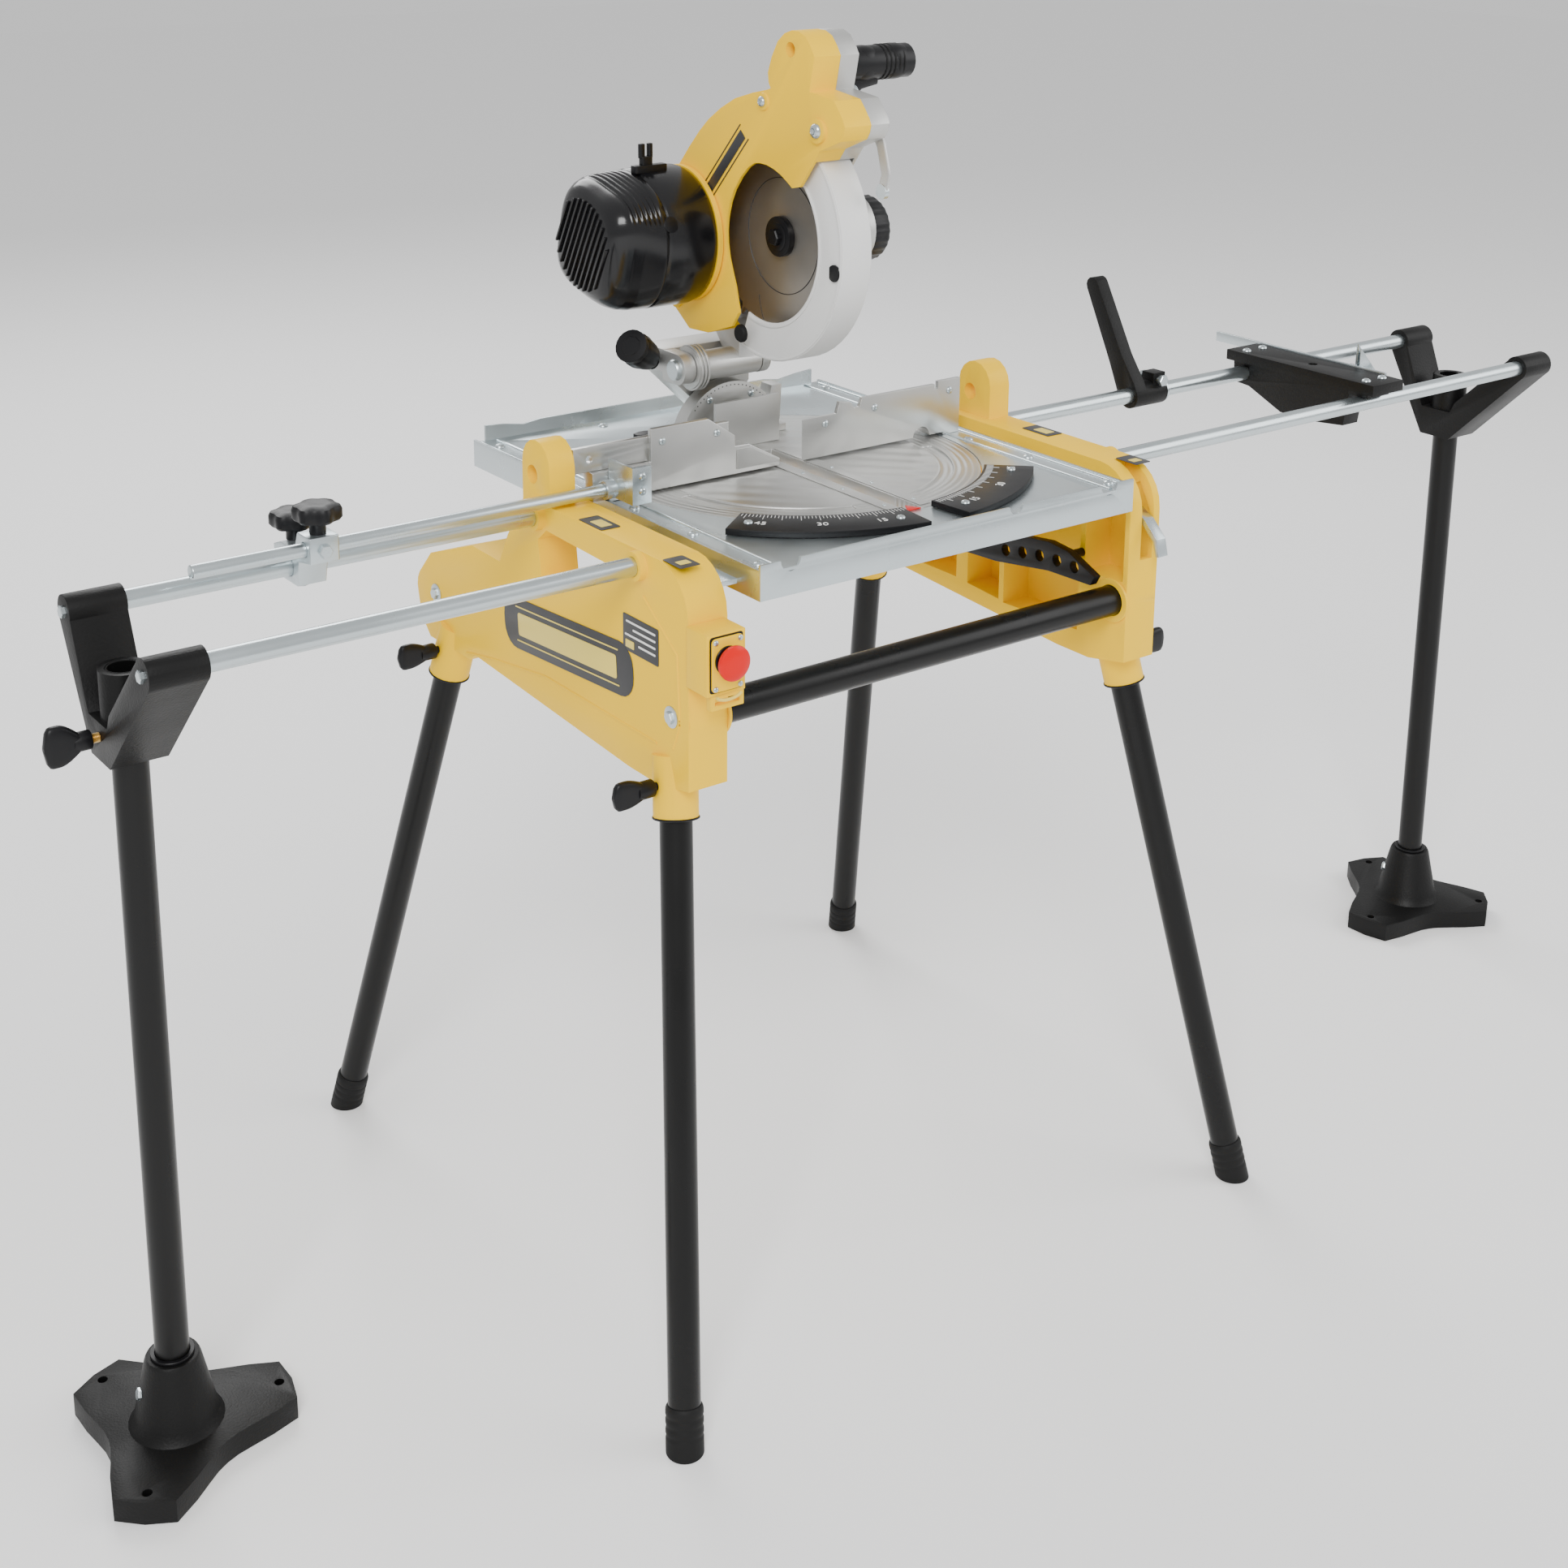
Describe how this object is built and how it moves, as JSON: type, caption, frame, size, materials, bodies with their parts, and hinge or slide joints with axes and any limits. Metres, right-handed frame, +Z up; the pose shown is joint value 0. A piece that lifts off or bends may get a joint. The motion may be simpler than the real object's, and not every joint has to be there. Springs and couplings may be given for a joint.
{
  "type": "mitre saw on stand",
  "caption": "Mitre saw with a turning table, tilting drop head and guarded blade, on a leg stand with rail extensions and end posts.",
  "frame": {"origin": "middle of the footprint, on the floor", "axes": "+X to the operator's right along the rails, +Y to the back, +Z up"},
  "size_m": [2.0538, 0.7834, 1.328],
  "materials": {
    "yellow_paint": "satin yellow paint",
    "black_paint": "satin black paint",
    "black_casting": "wrinkled black paint",
    "zinc_plate": "bright zinc plate",
    "cast_aluminium": "as cast",
    "steel": "ground",
    "black_plastic": "semi matt black",
    "grey_plastic": "light grey",
    "red_plastic": "red",
    "rubber": "matt"
  },
  "bodies": {
    "stand": {"bracket_left": "black_casting", "bracket_right": "black_casting", "casting_left": "yellow_paint", "casting_right": "yellow_paint", "foot_back_left": "rubber", "foot_back_right": "rubber", "foot_front_left": "rubber", "foot_front_right": "rubber", "leg_back_left": "black_paint", "leg_back_right": "black_paint", "leg_front_left": "black_paint", "leg_front_right": "black_paint", "rail_front_left": "zinc_plate", "rail_front_right": "zinc_plate", "rail_rear_left": "zinc_plate", "rail_rear_right": "zinc_plate", "scale_left": "black_plastic", "scale_right": "black_plastic", "cross_tube": "black_paint", "switch_box": "yellow_paint", "deck": "zinc_plate", "fence_left": "cast_aluminium", "fence_right": "cast_aluminium", "push_stick": "black_plastic"},
    "fence_plate": {"fence_slide": "cast_aluminium"},
    "stop_switch": {"stop_button": "red_plastic"},
    "latch": {"release_lever": "zinc_plate"},
    "table": {"turntable": "cast_aluminium", "bevel_base": "cast_aluminium"},
    "mitre_screw": {"mitre_lock": "black_plastic"},
    "tilt_arm": {"bevel_arm": "cast_aluminium"},
    "tilt_lever": {"bevel_lever": "black_plastic"},
    "head": {"head_casting": "cast_aluminium", "upper_guard": "yellow_paint", "motor_housing": "black_plastic", "drive_cover": "cast_aluminium", "drive_cap": "black_plastic", "grip": "black_plastic"},
    "rotor": {"motor_armature": "steel"},
    "saw_blade": {"blade": "steel", "spindle": "steel"},
    "blade_guard": {"lower_guard": "grey_plastic"},
    "trigger_key": {"trigger": "black_plastic"},
    "post_l": {"post_left": "black_paint", "base_left": "black_casting"},
    "post_r": {"post_right": "black_paint", "base_right": "black_casting"},
    "screw_l": {"post_screw_left": "black_plastic"},
    "screw_r": {"post_screw_right": "black_plastic"},
    "stop_carrier": {"stop_clamp": "zinc_plate"},
    "stop_bar": {"stop_rod": "zinc_plate", "stop_plate": "zinc_plate"},
    "knob_rod": {"stop_knob_rod": "black_plastic"},
    "knob_rail": {"stop_knob_rail": "black_plastic"},
    "swing_stop": {"swivel_stop": "black_casting"},
    "work_support": {"support_bar": "black_casting"},
    "clamp_back_left": {"leg_clamp_back_left": "black_plastic"},
    "clamp_back_right": {"leg_clamp_back_right": "black_plastic"},
    "clamp_front_left": {"leg_clamp_front_left": "black_plastic"},
    "clamp_front_right": {"leg_clamp_front_right": "black_plastic"}
  },
  "joints": [
    {"name": "mitre", "type": "hinge", "parent": "stand", "child": "table", "pos_m": [-0.15729, -0.01882, 0.85], "axis": [0, 0, -1], "range_deg": [-45, 45]},
    {"name": "mitre_lock_turn", "type": "hinge", "parent": "table", "child": "mitre_screw", "pos_m": [-0.24929, 0.13918, 0.857], "axis": [0, 0, 1], "range_deg": [-90, 90]},
    {"name": "bevel", "type": "hinge", "parent": "table", "child": "tilt_arm", "pos_m": [-0.15729, 0.14718, 0.85], "axis": [0, -1, 0], "range_deg": [0, 35]},
    {"name": "bevel_lever_turn", "type": "hinge", "parent": "tilt_arm", "child": "tilt_lever", "pos_m": [-0.24529, 0.13818, 0.948], "axis": [0, 1, 0], "range_deg": [-20, 20]},
    {"name": "chop", "type": "hinge", "parent": "tilt_arm", "child": "head", "pos_m": [-0.15729, 0.10018, 0.943], "axis": [1, 0, 0], "range_deg": [0, 50], "stiffness_Nm_per_rad": 12, "springref_deg": -60.16},
    {"name": "blade_spin", "type": "hinge", "parent": "head", "child": "saw_blade", "pos_m": [-0.15729, 0.00418, 1.101], "axis": [1, 0, 0], "continuous": true},
    {"name": "armature_spin", "type": "hinge", "parent": "head", "child": "rotor", "pos_m": [-0.15729, 0.14018, 1.088], "axis": [1, 0, 0], "continuous": true},
    {"name": "guard_swing", "type": "hinge", "parent": "head", "child": "blade_guard", "pos_m": [-0.15729, 0.00418, 1.101], "axis": [1, 0, 0], "range_deg": [-120, 0]},
    {"name": "trigger_press", "type": "slide", "parent": "head", "child": "trigger_key", "axis": [0, 0, 1], "range_m": [0, 0.002], "stiffness_N_per_m": 800, "springref_m": -0.001},
    {"name": "stop_press", "type": "slide", "parent": "stand", "child": "stop_switch", "axis": [0, 1, 0], "range_m": [0, 0.004], "stiffness_N_per_m": 800, "springref_m": -0.001},
    {"name": "latch_turn", "type": "hinge", "parent": "stand", "child": "latch", "pos_m": [0.13771, -0.23882, 0.806], "axis": [1, 0, 0], "range_deg": [0, 12], "stiffness_Nm_per_rad": 1, "springref_deg": -17.19},
    {"name": "fence_plate_slide", "type": "slide", "parent": "stand", "child": "fence_plate", "axis": [-1, 0, 0], "range_m": [-0.055, 0]},
    {"name": "post_slide_left", "type": "slide", "parent": "stand", "child": "post_l", "axis": [0, 0, 1], "range_m": [0, 0.2]},
    {"name": "post_slide_right", "type": "slide", "parent": "stand", "child": "post_r", "axis": [0, 0, 1], "range_m": [0, 0.2]},
    {"name": "post_screw_turn_left", "type": "hinge", "parent": "stand", "child": "screw_l", "pos_m": [-0.97729, -0.06682, 0.745], "axis": [1, 0, 0], "range_deg": [-90, 90]},
    {"name": "post_screw_turn_right", "type": "hinge", "parent": "stand", "child": "screw_r", "pos_m": [0.97271, -0.06682, 0.745], "axis": [1, 0, 0], "range_deg": [-90, 90]},
    {"name": "stop_carrier_slide", "type": "slide", "parent": "stand", "child": "stop_carrier", "axis": [1, 0, 0], "range_m": [-0.12, 0.08]},
    {"name": "stop_bar_slide", "type": "slide", "parent": "stop_carrier", "child": "stop_bar", "axis": [1, 0, 0], "range_m": [-0.1, 0.03]},
    {"name": "knob_rod_turn", "type": "hinge", "parent": "stop_carrier", "child": "knob_rod", "pos_m": [-0.73029, -0.03282, 0.89], "axis": [0, 0, 1], "range_deg": [-180, 180]},
    {"name": "knob_rail_turn", "type": "hinge", "parent": "stop_carrier", "child": "knob_rail", "pos_m": [-0.73029, 0.02118, 0.87], "axis": [0, 0, 1], "range_deg": [-180, 180]},
    {"name": "swing_stop_turn", "type": "hinge", "parent": "stand", "child": "swing_stop", "pos_m": [0.38971, 0.00318, 0.842], "axis": [1, 0, 0], "range_deg": [-50, 110]},
    {"name": "work_support_slide", "type": "slide", "parent": "stand", "child": "work_support", "axis": [1, 0, 0], "range_m": [-0.12, 0.25]},
    {"name": "leg_clamp_turn_front_left", "type": "hinge", "parent": "stand", "child": "clamp_front_left", "pos_m": [-0.49729, -0.23062, 0.63], "axis": [1, 0, 0], "range_deg": [-90, 90]},
    {"name": "leg_clamp_turn_back_left", "type": "hinge", "parent": "stand", "child": "clamp_back_left", "pos_m": [-0.49729, 0.21521, 0.63], "axis": [1, 0, 0], "range_deg": [-90, 90]},
    {"name": "leg_clamp_turn_front_right", "type": "hinge", "parent": "stand", "child": "clamp_front_right", "pos_m": [0.18271, -0.23062, 0.63], "axis": [1, 0, 0], "range_deg": [-90, 90]},
    {"name": "leg_clamp_turn_back_right", "type": "hinge", "parent": "stand", "child": "clamp_back_right", "pos_m": [0.18271, 0.21521, 0.63], "axis": [1, 0, 0], "range_deg": [-90, 90]}
  ],
  "couplings": [
    {"joint": "guard_swing", "follows": "chop", "ratio": -2.4},
    {"joint": "armature_spin", "follows": "blade_spin", "ratio": 1.5294}
  ]
}
